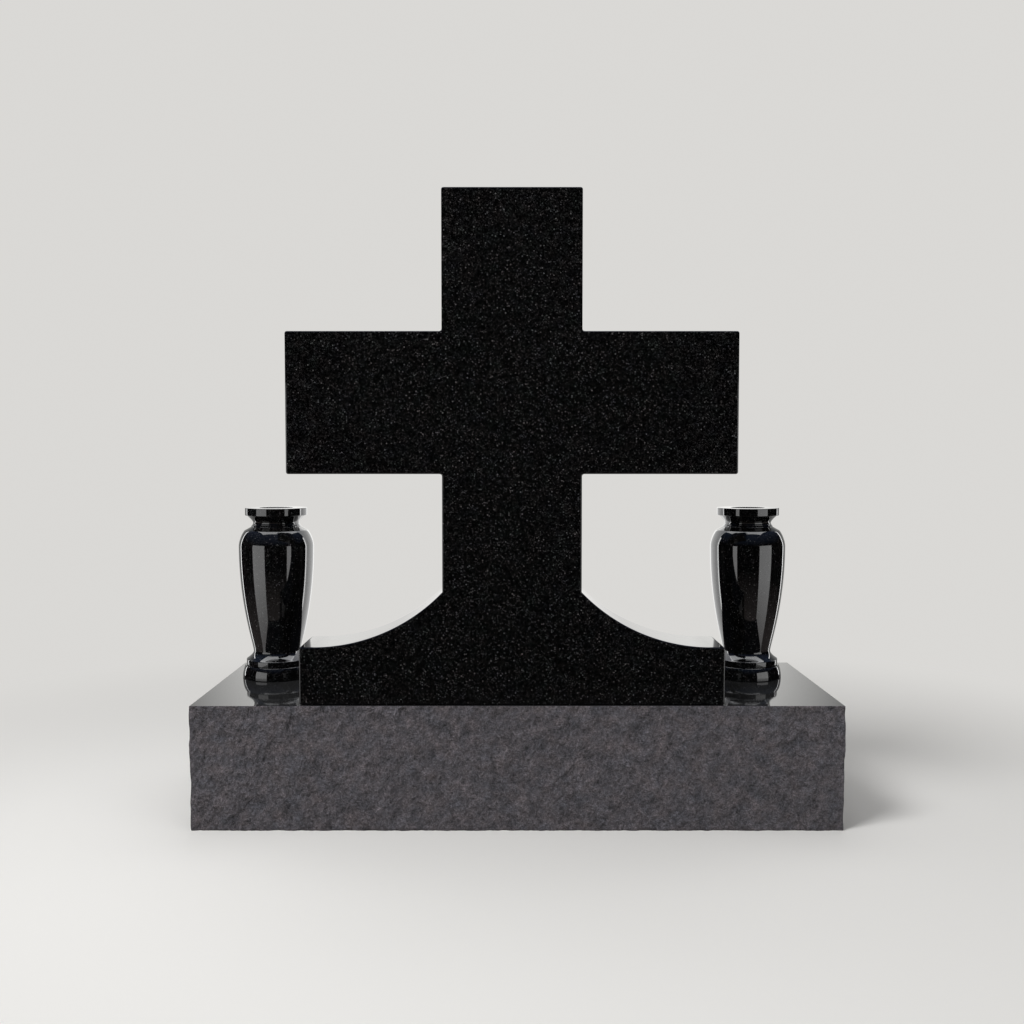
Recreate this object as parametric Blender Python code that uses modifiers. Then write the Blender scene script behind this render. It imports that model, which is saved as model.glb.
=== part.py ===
"""Cross headstone with two turned flower vases on a rock-faced base.

Four separate pieces of granite: a base slab, a cross cut from one slab with a
flared foot, and two hollow turned vases. The origin is the centre of the base's
underside. +Z is up, and the front faces -Y. Lengths are in metres.
"""
import math

import bmesh
import bpy
from mathutils import Vector

OBJECT_NAME = "cross_headstone"

# Base slab: polished flat top, sawn flat underside, rock-faced sides
BASE_WIDTH = 1.000
BASE_DEPTH = 0.355
BASE_HEIGHT = 0.193
ROCK_RELIEF = 0.0020        # how far the rock face swells out or in from its outline
ROCK_WAVE = 0.110           # length of its longest swell
ROCK_CREST = 0.012          # height over which the swells fade out under the straight top edge
ROCK_FACET = 0.021          # width of one facet
BACK_RELIEF = 0.5           # share of the relief on the back, which is worked more lightly
# Swells as (share, turns along, turns up, phase)
ROCK_SWELLS = ((1.0, 1.0, 0.55, 0.0), (0.7, 1.9, -1.3, 1.7), (0.5, 3.1, 2.7, 0.6))

# Cross: one slab of constant thickness
CROSS_OFFSET = -0.008       # middle of the cross and vases, sideways from the base's middle
CROSS_SETBACK = 0.006       # its face, behind the base's front edge
CROSS_THICKNESS = 0.110
STEM_WIDTH = 0.2122
ARM_SPAN = 0.6846
ARM_HEIGHT = 0.3528         # of the crossbar's underside above the base
ARM_DEPTH = 0.2151          # of the crossbar, from its top to its underside
HEAD_HEIGHT = 0.2137        # of the upper arm above the crossbar
FOOT_WIDTH = 0.6510
FOOT_HEIGHT = 0.0885        # of the square ends of the foot
FOOT_LEDGE = 0.0213         # level strip at each end of the foot
SHOULDER_RISE = 0.0845      # of the concave sweep, from the foot's ledge up to the stem
SHOULDER_STEPS = 18
ARRIS = 0.0022              # small rounding on every edge

# Vases: turned, with a straight bore
VASE_END_MARGIN = 0.0350    # from the widest ring to the base's end
VASE_BACK_GAP = 0.0555      # from the cross's back to the belly
VASE_HEIGHT = 0.2915
RIM_RADIUS = 0.0524
RIM_THICKNESS = 0.0128
RIM_ROUNDING = 0.0010
NECK_RADIUS = 0.0389        # at its narrowest
NECK_FLARE = 0.0102         # how much wider it is under the rim
NECK_LENGTH = 0.0132
NECK_HOLD = 0.22            # share of its length over which the neck keeps near its narrowest
NECK_WALL = 0.0109          # between the neck and the bore
COLLAR_LIP = 0.0031         # how far the collar stands out from the neck
COLLAR_SLOPE = 0.0050       # height over which it spreads to that
COLLAR_LENGTH = 0.0013
ROOF_WIDTH = 0.0108         # straight slope from the collar out to the shoulder
ROOF_DROP = 0.0059
SHOULDER_DROP = 0.0340      # from the collar down to the widest line
SHOULDER_TURN = 0.30        # how far the slope runs on into the shoulder's round, as a share of its width
SHOULDER_HOLD = 0.50        # share of the round's height over which it keeps near the belly's width
BELLY_RADIUS = 0.0635
WAIST_RADIUS = 0.0403
COVE_HEIGHT = 0.0142        # of the hollow sweep from the waist down to the bead
BEAD_RADIUS = 0.0524
BEAD_HEIGHT = 0.0090
BEAD_EDGE = 0.0010          # rounding of the bead's two edges
NOTCH_GAP = 0.0010          # height of the step between the bead and the ring
NOTCH_DEPTH = 0.0055        # of the step, in from the ring's upper edge
RING_RADIUS = 0.0588
RING_HEIGHT = 0.0215
RING_SHOULDER = 0.0043      # how far the ring draws in from the seat to its upper edge
RING_EDGE = 0.0008          # rounding of that edge
RING_HOLD = 0.39            # share of its height over which the ring stands upright from the seat
RING_LEAN = (0.70, 0.27)    # how it meets its upper edge, as shares of its draw and height
BORE_FLOOR = 0.0920         # solid stone under the bore
BELLY_HOLD = 0.544          # share of the taper over which the belly keeps near its full width
WAIST_PULL = (0.115, 0.105) # how the taper leaves the waist, as shares of its width and length
COVE_DROP = 0.35            # how the cove leaves the waist, straight down, as a share of its height
COVE_PULL = (0.55, 0.30)    # how it leaves the bead, as shares of its width and height

# Fineness of the turned shapes
VASE_SIDES = 32
NECK_STEPS = 4
SHOULDER_ROUND_STEPS = 7
TAPER_STEPS = 12
COVE_STEPS = 4
RING_STEPS = 5

# Thin bed of setting compound under each stone that stands on the base
BED = 0.0003

WELD = 0.00001


def clear_scene():
    """Remove whatever objects the file holds."""
    for thing in list(bpy.data.objects):
        bpy.data.objects.remove(thing, do_unlink=True)


def stone(name, colour, roughness):
    """A plain stone material."""
    material = bpy.data.materials.new(name)
    material.use_nodes = True
    shader = material.node_tree.nodes["Principled BSDF"]
    shader.inputs["Base Color"].default_value = (*colour, 1.0)
    shader.inputs["Roughness"].default_value = roughness
    shader.inputs["Metallic"].default_value = 0.0
    return material


def arc(centre, radii, start, end, steps):
    """Points on an ellipse from angle start to angle end, in degrees, both ends included."""
    points = []
    for step in range(steps + 1):
        angle = math.radians(start + (end - start) * step / steps)
        points.append((centre[0] + radii[0] * math.cos(angle), centre[1] + radii[1] * math.sin(angle)))
    return points


def bezier(start, start_handle, end_handle, end, steps):
    """Points on a cubic curve, without its first one."""
    points = []
    for step in range(1, steps + 1):
        t = step / steps
        s = 1.0 - t
        weights = (s * s * s, 3.0 * s * s * t, 3.0 * s * t * t, t * t * t)
        corners = (start, start_handle, end_handle, end)
        points.append(tuple(sum(w * p[axis] for w, p in zip(weights, corners)) for axis in (0, 1)))
    return points


def evaluated_mesh(guide, name):
    """The closed mesh that a curve or a modifier makes; the guide is removed."""
    bpy.context.view_layer.update()
    evaluated = guide.evaluated_get(bpy.context.evaluated_depsgraph_get())
    mesh = bpy.data.meshes.new_from_object(evaluated)
    mesh.name = name
    mesh.materials.clear()
    bpy.data.objects.remove(guide, do_unlink=True)
    work = bmesh.new()
    work.from_mesh(mesh)
    bmesh.ops.remove_doubles(work, verts=work.verts, dist=WELD)
    work.to_mesh(mesh)
    work.free()
    return mesh


def place(name, mesh, material, collection):
    """A named object with one material, shaded smooth between crisp edges."""
    mesh.shade_smooth()
    mesh.set_sharp_from_angle(angle=math.radians(30.0))
    mesh.materials.append(material)
    piece = bpy.data.objects.new(name, mesh)
    collection.objects.link(piece)
    return piece


def rock_offset(along, up):
    """How far a point of the rock face stands out from its outline, from crossing swells.

    The sum of the swells is scaled to stay within the relief, and fades out at the straight top edge.
    """
    turn = 2.0 * math.pi / ROCK_WAVE
    total = sum(swell[0] for swell in ROCK_SWELLS)
    height = 0.0
    for share, turns_along, turns_up, phase in ROCK_SWELLS:
        height += share * math.sin(turn * (turns_along * along + turns_up * up) + phase)
    fade = min(1.0, (BASE_HEIGHT - up) / ROCK_CREST)
    return ROCK_RELIEF * fade * height / total


def slice_evenly(work, axis, start, length):
    """Cut a mesh across one axis into even steps about one facet wide."""
    count = max(2, round(length / ROCK_FACET))
    normal = Vector((0.0, 0.0, 0.0))
    normal[axis] = 1.0
    for step in range(1, count):
        everything = work.verts[:] + work.edges[:] + work.faces[:]
        point = normal * (start + length * step / count)
        bmesh.ops.bisect_plane(work, geom=everything, dist=WELD, plane_co=point, plane_no=normal)


def make_base(collection, material):
    """Slab with a flat top and underside, and four upright sides cut into rock-faced facets."""
    half_width = BASE_WIDTH / 2.0
    half_depth = BASE_DEPTH / 2.0
    work = bmesh.new()
    bmesh.ops.create_cube(work, size=1.0)
    bmesh.ops.scale(work, vec=(BASE_WIDTH, BASE_DEPTH, BASE_HEIGHT), verts=work.verts)
    bmesh.ops.translate(work, vec=(0.0, 0.0, BASE_HEIGHT / 2.0), verts=work.verts)
    slice_evenly(work, 0, -half_width, BASE_WIDTH)
    slice_evenly(work, 1, -half_depth, BASE_DEPTH)
    slice_evenly(work, 2, 0.0, BASE_HEIGHT)
    for side in (1.0, -1.0):
        level = [face for face in work.faces if face.normal.z * side > 0.9]
        bmesh.ops.dissolve_faces(work, faces=level, use_verts=False)

    # The swells run on round the corners: along counts from the middle of the front
    for vert in work.verts:
        x, y, z = vert.co
        if abs(y + half_depth) < WELD:
            vert.co.y -= rock_offset(x, z)
        if abs(y - half_depth) < WELD:
            vert.co.y += BACK_RELIEF * rock_offset(BASE_WIDTH + BASE_DEPTH - x, z)
        if abs(x - half_width) < WELD:
            vert.co.x += rock_offset(half_width + half_depth + y, z)
        if abs(x + half_width) < WELD:
            vert.co.x -= rock_offset(-half_width - half_depth - y, z)

    mesh = bpy.data.meshes.new("base")
    work.to_mesh(mesh)
    work.free()
    return place("base", mesh, material, collection)


def cross_outline():
    """Outline of the cross from the foot's lower right corner, with Y as its height."""
    stem = STEM_WIDTH / 2.0
    arm = ARM_SPAN / 2.0
    foot = FOOT_WIDTH / 2.0
    arm_top = ARM_HEIGHT + ARM_DEPTH
    centre_x = foot - FOOT_LEDGE
    reach = centre_x - stem
    radius = (reach * reach + SHOULDER_RISE * SHOULDER_RISE) / (2.0 * SHOULDER_RISE)
    swing = math.degrees(math.asin(reach / radius))
    centre = (centre_x, FOOT_HEIGHT + radius)
    right = [(foot, 0.0), (foot, FOOT_HEIGHT)]
    right += arc(centre, (radius, radius), -90.0, -90.0 - swing, SHOULDER_STEPS)
    right += [(stem, ARM_HEIGHT), (arm, ARM_HEIGHT), (arm, arm_top)]
    right += [(stem, arm_top), (stem, arm_top + HEAD_HEIGHT)]
    left = [(-x, z) for x, z in reversed(right)]
    return right + left


def make_cross(collection, material):
    """The outline extruded to its thickness, stood upright, with its edges eased."""
    curve = bpy.data.curves.new("cross_outline", "CURVE")
    curve.dimensions = "2D"
    curve.fill_mode = "BOTH"
    curve.extrude = CROSS_THICKNESS / 2.0
    outline = cross_outline()
    spline = curve.splines.new("POLY")
    spline.points.add(len(outline) - 1)
    for point, (x, z) in zip(spline.points, outline):
        point.co = (x, z, 0.0, 1.0)
    spline.use_cyclic_u = True
    guide = bpy.data.objects.new("cross_outline", curve)
    collection.objects.link(guide)

    cross = place("cross", evaluated_mesh(guide, "cross"), material, collection)
    cross.rotation_euler = (math.radians(90.0), 0.0, 0.0)
    cross.location = (
        CROSS_OFFSET,
        CROSS_SETBACK + (CROSS_THICKNESS - BASE_DEPTH) / 2.0,
        BASE_HEIGHT + BED,
    )
    ease = cross.modifiers.new("arris", "BEVEL")
    ease.width = ARRIS
    ease.segments = 2
    ease.limit_method = "ANGLE"
    ease.angle_limit = math.radians(40.0)
    return cross


def vase_profile():
    """Half section of a vase as (radius, height): bore, rim, neck, belly, bead, ring, seat."""
    bore = NECK_RADIUS - NECK_WALL
    rim_foot = VASE_HEIGHT - RIM_THICKNESS
    neck_foot = rim_foot - NECK_LENGTH
    collar_top = neck_foot - COLLAR_SLOPE
    collar_foot = collar_top - COLLAR_LENGTH
    collar = NECK_RADIUS + COLLAR_LIP
    belly_line = collar_foot - SHOULDER_DROP
    ring_top = RING_RADIUS - RING_SHOULDER
    notch = ring_top - NOTCH_DEPTH
    bead_foot = RING_HEIGHT + NOTCH_GAP
    bead_top = bead_foot + BEAD_HEIGHT
    bead_flat = BEAD_RADIUS - BEAD_EDGE
    waist_line = bead_top + COVE_HEIGHT

    points = [(0.0, BORE_FLOOR), (bore, BORE_FLOOR), (bore, VASE_HEIGHT - RIM_ROUNDING)]
    points += [(bore + RIM_ROUNDING, VASE_HEIGHT), (RIM_RADIUS - RIM_ROUNDING, VASE_HEIGHT)]
    points += [(RIM_RADIUS, VASE_HEIGHT - RIM_ROUNDING), (RIM_RADIUS, rim_foot + RIM_ROUNDING)]
    points += [(RIM_RADIUS - RIM_ROUNDING, rim_foot), (NECK_RADIUS + NECK_FLARE, rim_foot)]

    # The neck hollows in under the rim, then spreads to the collar
    flare_foot = (NECK_RADIUS + NECK_FLARE, rim_foot)
    flare_handle = (NECK_RADIUS + NECK_FLARE / 3.0, rim_foot - NECK_LENGTH / 2.0)
    neck_handle = (NECK_RADIUS, neck_foot + NECK_HOLD * NECK_LENGTH)
    points += bezier(flare_foot, flare_handle, neck_handle, (NECK_RADIUS, neck_foot), NECK_STEPS)
    points += [(collar, collar_top), (collar, collar_foot)]

    # A straight roof slopes out from the collar and turns down tightly into the belly
    roof = (collar + ROOF_WIDTH, collar_foot - ROOF_DROP)
    belly = (BELLY_RADIUS, belly_line)
    turn = BELLY_RADIUS - roof[0]
    corner_line = roof[1] - turn * ROOF_DROP / ROOF_WIDTH
    roof_handle = (roof[0] + SHOULDER_TURN * turn, roof[1] + SHOULDER_TURN * (corner_line - roof[1]))
    side_handle = (BELLY_RADIUS, belly_line + SHOULDER_HOLD * (corner_line - belly_line))
    points += [roof] + bezier(roof, roof_handle, side_handle, belly, SHOULDER_ROUND_STEPS)

    # The belly draws in slowly at first and fastest at the waist
    taper = belly_line - waist_line
    width = BELLY_RADIUS - WAIST_RADIUS
    waist = (WAIST_RADIUS, waist_line)
    belly_handle = (BELLY_RADIUS, belly_line - BELLY_HOLD * taper)
    waist_handle = (WAIST_RADIUS + WAIST_PULL[0] * width, waist_line + WAIST_PULL[1] * taper)
    points += bezier(belly, belly_handle, waist_handle, waist, TAPER_STEPS)

    # A hollow cove spreads from the waist to the bead, whose face is upright
    sweep = bead_flat - WAIST_RADIUS
    drop_handle = (WAIST_RADIUS, waist_line - COVE_DROP * COVE_HEIGHT)
    bead_handle = (bead_flat - COVE_PULL[0] * sweep, bead_top + COVE_PULL[1] * COVE_HEIGHT)
    points += bezier(waist, drop_handle, bead_handle, (bead_flat, bead_top), COVE_STEPS)
    points += [(BEAD_RADIUS, bead_top - BEAD_EDGE), (BEAD_RADIUS, bead_foot + BEAD_EDGE)]
    points += [(bead_flat, bead_foot), (notch, bead_foot), (notch, RING_HEIGHT)]

    # The ring stands upright from the seat and leans in to its upper edge
    ring_edge = (ring_top, RING_HEIGHT - RING_EDGE)
    ring_handle = (ring_top + RING_LEAN[0] * RING_SHOULDER, (1.0 - RING_LEAN[1]) * RING_HEIGHT)
    seat_handle = (RING_RADIUS, RING_HOLD * RING_HEIGHT)
    points += [(ring_top - RING_EDGE, RING_HEIGHT), ring_edge]
    points += bezier(ring_edge, ring_handle, seat_handle, (RING_RADIUS, 0.0), RING_STEPS)
    points += [(0.0, 0.0)]
    return points


def make_vase(name, side, collection, material):
    """One turned vase; side is -1 for the left one and 1 for the right one."""
    profile = vase_profile()
    outline = bpy.data.meshes.new(name + "_profile")
    points = [(radius, 0.0, height) for radius, height in profile]
    edges = [(index, index + 1) for index in range(len(points) - 1)]
    outline.from_pydata(points, edges, [])
    guide = bpy.data.objects.new(name + "_profile", outline)
    collection.objects.link(guide)
    turn = guide.modifiers.new("turning", "SCREW")
    turn.axis = "Z"
    turn.angle = math.radians(360.0)
    turn.steps = VASE_SIDES
    turn.render_steps = VASE_SIDES
    turn.use_merge_vertices = True
    turn.merge_threshold = WELD

    vase = place(name, evaluated_mesh(guide, name), material, collection)
    spread = BASE_WIDTH / 2.0 - VASE_END_MARGIN - RING_RADIUS
    cross_back = CROSS_SETBACK + CROSS_THICKNESS - BASE_DEPTH / 2.0
    vase.location = (
        CROSS_OFFSET + side * spread,
        cross_back + VASE_BACK_GAP + BELLY_RADIUS,
        BASE_HEIGHT + BED,
    )
    return vase


def build():
    """Make the four stones."""
    clear_scene()
    collection = bpy.data.collections.new(OBJECT_NAME)
    bpy.context.scene.collection.children.link(collection)
    black = stone("polished_black_granite", (0.008, 0.008, 0.009), 0.08)
    grey = stone("rock_faced_grey_granite", (0.070, 0.065, 0.070), 0.75)
    make_base(collection, grey)
    make_cross(collection, black)
    make_vase("left_vase", -1.0, collection, black)
    make_vase("right_vase", 1.0, collection, black)


build()
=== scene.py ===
# %% [markdown]
# # A granite cross headstone with two flower vases
#
# Four stones stand together: a grey base with rock-faced sides and a polished top, a black cross sawn
# from one slab, and two hollow vases turned from black granite. Every shape here is a skin of rings:
# a profile carried round a closed path, worked out with numpy as whole arrays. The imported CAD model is
# loaded first, because it says where each stone stands and how large it may be.

# %% Load the frame
import math

import bpy
import numpy as np
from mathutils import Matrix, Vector


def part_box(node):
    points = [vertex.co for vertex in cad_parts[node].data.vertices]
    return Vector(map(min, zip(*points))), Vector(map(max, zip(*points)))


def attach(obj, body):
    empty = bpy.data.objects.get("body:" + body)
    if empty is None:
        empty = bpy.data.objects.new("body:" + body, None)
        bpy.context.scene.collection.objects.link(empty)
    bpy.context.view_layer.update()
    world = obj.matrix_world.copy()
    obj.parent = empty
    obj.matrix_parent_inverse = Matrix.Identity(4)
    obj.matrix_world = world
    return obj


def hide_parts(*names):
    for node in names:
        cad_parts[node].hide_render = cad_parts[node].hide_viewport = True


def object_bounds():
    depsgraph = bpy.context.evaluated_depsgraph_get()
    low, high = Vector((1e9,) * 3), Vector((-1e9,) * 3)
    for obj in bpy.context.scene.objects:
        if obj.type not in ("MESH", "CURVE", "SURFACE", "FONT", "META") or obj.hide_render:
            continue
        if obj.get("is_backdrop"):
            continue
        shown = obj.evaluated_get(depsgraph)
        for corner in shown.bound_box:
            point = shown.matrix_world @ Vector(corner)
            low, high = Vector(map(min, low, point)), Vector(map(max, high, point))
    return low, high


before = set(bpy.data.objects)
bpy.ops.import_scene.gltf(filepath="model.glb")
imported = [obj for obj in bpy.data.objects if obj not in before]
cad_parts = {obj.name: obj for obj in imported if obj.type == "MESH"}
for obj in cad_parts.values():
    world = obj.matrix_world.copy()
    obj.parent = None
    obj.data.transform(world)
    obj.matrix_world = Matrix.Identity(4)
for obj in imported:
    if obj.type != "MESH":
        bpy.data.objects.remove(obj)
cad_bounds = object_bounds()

print("CAD box, metres:", [[round(value, 4) for value in corner] for corner in cad_bounds])

# %% [markdown]
# ## Camera
#
# The camera stands a little higher than the crossbar's underside and looks down by three degrees, so
# that the base's top shows as a thin band. Its place was found from the picture: the base's front
# edges, the back corners of its top and the vases' axes fix the distance and the lens together.

# %% Camera
EYE = (-0.008, -1.8355, 0.5733)
EYE_PITCH = 2.91
LENS = 38.67
FILM_WIDTH = 36.0

camera_data = bpy.data.cameras.new("camera")
camera_data.lens = LENS
camera_data.sensor_width = FILM_WIDTH
camera = bpy.data.objects.new("camera", camera_data)
camera.location = EYE
camera.rotation_euler = (math.radians(90.0 - EYE_PITCH), 0.0, 0.0)
bpy.context.scene.collection.objects.link(camera)
bpy.context.scene.camera = camera
bpy.context.scene.view_settings.view_transform = "Standard"
print("camera at", EYE)

# %% [markdown]
# ## A skin of rings
#
# A turned vase, a slab with eased edges and a block with rough sides have one thing in common: stacked
# closed rings. Each ring is a row of a grid, each place round the ring is a column, and two flat caps
# close the first and the last ring. With columns that turn anticlockwise, seen from the last ring's
# side, every face points outwards without any repair afterwards.

# %% Rings to mesh


def ring_skin(name, rings, materials, second_from=None):
    """Closed piece from an array of rings, rows by columns by three.

    Corner c of row r joins corner c + 1 of the same row and both corners above them; the last column
    joins the first. The first and last rings are closed by one flat face each. From the row
    second_from on, the walls and the last cap take the second material.
    """
    rows, columns = rings.shape[:2]
    corner = np.arange(rows * columns).reshape(rows, columns)
    after = np.roll(corner, -1, axis=1)
    walls = np.stack([corner[:-1], after[:-1], after[1:], corner[1:]], axis=-1).reshape(-1, 4)
    faces = walls.tolist() + [corner[0, ::-1].tolist(), corner[-1].tolist()]
    mesh = bpy.data.meshes.new(name)
    mesh.from_pydata(rings.reshape(-1, 3), [], faces)
    smooth = np.ones(len(faces), bool)
    smooth[-2:] = False
    mesh.polygons.foreach_set("use_smooth", smooth)
    for material in materials:
        mesh.materials.append(material)
    if second_from is not None:
        index = np.zeros(len(faces), int)
        index[second_from * columns : len(walls)] = 1
        index[-1] = 1
        mesh.polygons.foreach_set("material_index", index)
    mesh.update()
    piece = bpy.data.objects.new(name, mesh)
    bpy.context.scene.collection.objects.link(piece)
    triangles = 2 * len(walls) + 2 * (columns - 2)
    print(f"{name}: {rows} rings of {columns} corners, {triangles} triangles")
    return piece


# %% [markdown]
# ## Eased corners
#
# No stone edge is truly sharp: the mason takes a millimetre or two off so that it doesn't chip, and
# that small round is what catches the light. A Bevel modifier could round a finished mesh. Here the
# drawn line is rounded before it becomes a mesh, so that every row of faces is known in advance. A
# corner gives way to a short parabola, which leaves one side at a set reach before the corner and
# joins the other at the same reach after it.

# %% Eased line
SAME_POINT = 1e-7


def eased(corners, reach, steps, closed=False):
    """A line through corners, each replaced by a parabola.

    With P the corner and A, B the points at the reach along its two sides, the parabola is
    (1 - s)^2 A + 2 s (1 - s) P + s^2 B for s from 0 to 1. A reach of zero keeps the corner as it is.
    """
    corners = np.asarray(corners, float)
    reach = np.broadcast_to(np.asarray(reach, float), len(corners))[:, None]
    before = np.roll(corners, 1, axis=0)
    after = np.roll(corners, -1, axis=0)
    to_before = before - corners
    to_after = after - corners
    start = corners + reach * to_before / np.linalg.norm(to_before, axis=1, keepdims=True)
    end = corners + reach * to_after / np.linalg.norm(to_after, axis=1, keepdims=True)
    s = np.linspace(0.0, 1.0, steps + 1)[None, :, None]
    bend = (1 - s) ** 2 * start[:, None] + 2 * s * (1 - s) * corners[:, None] + s**2 * end[:, None]
    line = bend.reshape(-1, corners.shape[1])
    if not closed:
        line = line[steps : len(line) - steps]
    step = np.linalg.norm(line - np.roll(line, 1, axis=0), axis=1)
    return line[step > SAME_POINT]


def ellipse(centre, radii, start, end, steps):
    """Points of an ellipse from one angle to another, in degrees: centre + radii * (cos, sin)."""
    angle = np.radians(np.linspace(start, end, steps + 1))
    return np.stack([centre[0] + radii[0] * np.cos(angle), centre[1] + radii[1] * np.sin(angle)], axis=1)


def cubic(a, b, c, d, steps):
    """Points of a cubic Bezier curve from a to d, drawn towards b first and c last."""
    t = np.linspace(0.0, 1.0, steps + 1)[:, None]
    a, b, c, d = (np.asarray(point, float) for point in (a, b, c, d))
    return (1 - t) ** 3 * a + 3 * (1 - t) ** 2 * t * b + 3 * (1 - t) * t**2 * c + t**3 * d


# %% [markdown]
# ## Shader maths
#
# A material is a small network of nodes. Written as Python, the same network reads like a formula: a
# wire wraps one output socket, and adding or multiplying wires adds the Math nodes. Every other node
# comes from one method, which sets its settings first and its sockets after them.

# %% Wires


class Wire:
    """One output socket of a node tree; operators on wires add Math nodes."""

    def __init__(self, tree, socket=None):
        self.tree = tree
        self.socket = socket

    def node(self, kind, settings, sockets, output=None):
        """Add a node of a kind, with its settings and then its sockets' values or wires."""
        node = self.tree.nodes.new(kind)
        for name, value in settings.items():
            setattr(node, name, value)
        for key, value in sockets.items():
            socket = next(s for s in node.inputs if key in (s.identifier, s.name))
            if isinstance(value, Wire):
                self.tree.links.new(value.socket, socket)
            else:
                socket.default_value = value
        result = next(s for s in node.outputs if output in (None, s.identifier, s.name))
        return Wire(self.tree, result)

    def math(self, operation, first, second=0.0, clamp=False):
        """A Math node on two wires or numbers."""
        settings = {"operation": operation, "use_clamp": clamp}
        return self.node("ShaderNodeMath", settings, {"Value": first, "Value_001": second})

    def __add__(self, other):
        return self.math("ADD", self, other)

    def __radd__(self, other):
        return self.math("ADD", other, self)

    def __sub__(self, other):
        return self.math("SUBTRACT", self, other)

    def __rsub__(self, other):
        return self.math("SUBTRACT", other, self)

    def __mul__(self, other):
        return self.math("MULTIPLY", self, other)

    def __rmul__(self, other):
        return self.math("MULTIPLY", other, self)

    def __pow__(self, other):
        return self.math("POWER", self, other)

    def clamped(self):
        """The same value kept between 0 and 1."""
        return self.math("ADD", self, 0.0, clamp=True)

    def contrast(self, gain):
        """The value's distance from one half times the gain, plus one half, kept between 0 and 1."""
        return ((self - 0.5) * gain + 0.5).clamped()

    def part(self, axis):
        """One coordinate, X, Y or Z, of a vector."""
        return self.node("ShaderNodeSeparateXYZ", {}, {"Vector": self}, axis)

    def noise(self, scale, detail=2.0, roughness=0.5):
        """Cloudy noise around 0.5 at points per metre, read at this wire's coordinates."""
        sockets = {"Vector": self, "Scale": scale, "Detail": detail, "Roughness": roughness}
        return self.node("ShaderNodeTexNoise", {}, sockets, "Fac")

    def blend(self, low, high):
        """Colour that goes from low to high as this wire goes from 0 to 1."""
        sockets = {"Factor_Float": self, "A_Color": low, "B_Color": high}
        return self.node("ShaderNodeMix", {"data_type": "RGBA"}, sockets, "Result_Color")

    def grey(self):
        """This value as the red, green and blue of a colour."""
        sockets = {"Red": self, "Green": self, "Blue": self}
        return self.node("ShaderNodeCombineColor", {}, sockets, "Color")

    def tinted(self, tint):
        """This value times a colour, channel by channel."""
        sockets = {"Vector": self.grey(), "Vector_001": tint}
        return self.node("ShaderNodeVectorMath", {"operation": "MULTIPLY"}, sockets, "Vector")


def new_material(name):
    """A node material with its Principled shader, and a wire of object coordinates."""
    material = bpy.data.materials.new(name)
    material.use_nodes = True
    tree = material.node_tree
    shader = tree.nodes["Principled BSDF"]
    place = Wire(tree).node("ShaderNodeTexCoord", {}, {}, "Object")
    return material, shader, place


def feed(shader, name, wire):
    """Link a wire to one socket of the shader."""
    wire.tree.links.new(wire.socket, shader.inputs[name])


def colour(red, green, blue):
    """A colour as Blender's sockets take it."""
    return (red, green, blue, 1.0)


# %% [markdown]
# ## Polished black granite
#
# Black granite is really a dark rock of tightly packed crystals. Polished, its body is almost black and
# the faces of pale crystals show as fine grey flecks one to three millimetres across. An image could
# carry them, but it would blur close up. Cloudy noise raised to a power gives the many faint flecks,
# and a cell pattern adds the few bright ones. The polish itself is a low roughness, a little higher
# where a bright crystal interrupts the film of light.

# %% Black granite
BLACK_TONE = 0.0027
BLACK_ROUGHNESS = 0.04
BLACK_IOR = 1.5
CRYSTALS = 440.0
FINE_CRYSTALS = 760.0
CLUSTERS = 120.0
BRIGHT_CELLS = 400.0
BRIGHT_SHRINK = 1.8
BRIGHT_RARITY = 18.0
BRIGHT_TONE = 0.14
BRIGHT_ROUGHNESS = 0.05
TINT_WAVES = (40.0, 55.0)
TINT_GAIN = 3.0
GREENISH, BLUISH, REDDISH = colour(0.94, 1.06, 1.00), colour(0.96, 0.96, 1.10), colour(1.08, 0.98, 0.98)


def black_granite():
    """Flecked near-black stone with a mirror polish.

    The tone is a small number times three clouds raised to powers, which keep most of it dark, plus
    the bright flecks: a disc in the middle of each cell, times the cell's luck to a high power.
    """
    material, shader, place = new_material("polished_black_granite")
    crystals = place.noise(CRYSTALS, 1.0, 0.6) * 2.0
    fine = place.noise(FINE_CRYSTALS, 1.0, 0.5) * 2.0
    clusters = place.noise(CLUSTERS, 2.0, 0.6) * 2.0
    cells = {"Vector": place, "Scale": BRIGHT_CELLS}
    lots = place.node("ShaderNodeTexVoronoi", {}, cells, "Color")
    luck = place.node("ShaderNodeSeparateColor", {}, {"Color": lots}, "Red")
    distance = place.node("ShaderNodeTexVoronoi", {}, cells, "Distance")
    bright = (1.0 - distance * BRIGHT_SHRINK).clamped() * luck**BRIGHT_RARITY
    tone = BLACK_TONE * crystals**4.5 * fine**2.5 * clusters**1.5 + BRIGHT_TONE * bright
    cool = place.noise(TINT_WAVES[0], 2.0).contrast(TINT_GAIN).blend(GREENISH, BLUISH)
    tint = place.noise(TINT_WAVES[1], 2.0, 0.6).contrast(TINT_GAIN).blend(cool, REDDISH)
    feed(shader, "Base Color", tone.tinted(tint))
    feed(shader, "Roughness", BLACK_ROUGHNESS + BRIGHT_ROUGHNESS * bright)
    shader.inputs["IOR"].default_value = BLACK_IOR
    return material


black = black_granite()
print(f"{black.name}: {len(black.node_tree.nodes)} nodes")
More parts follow.
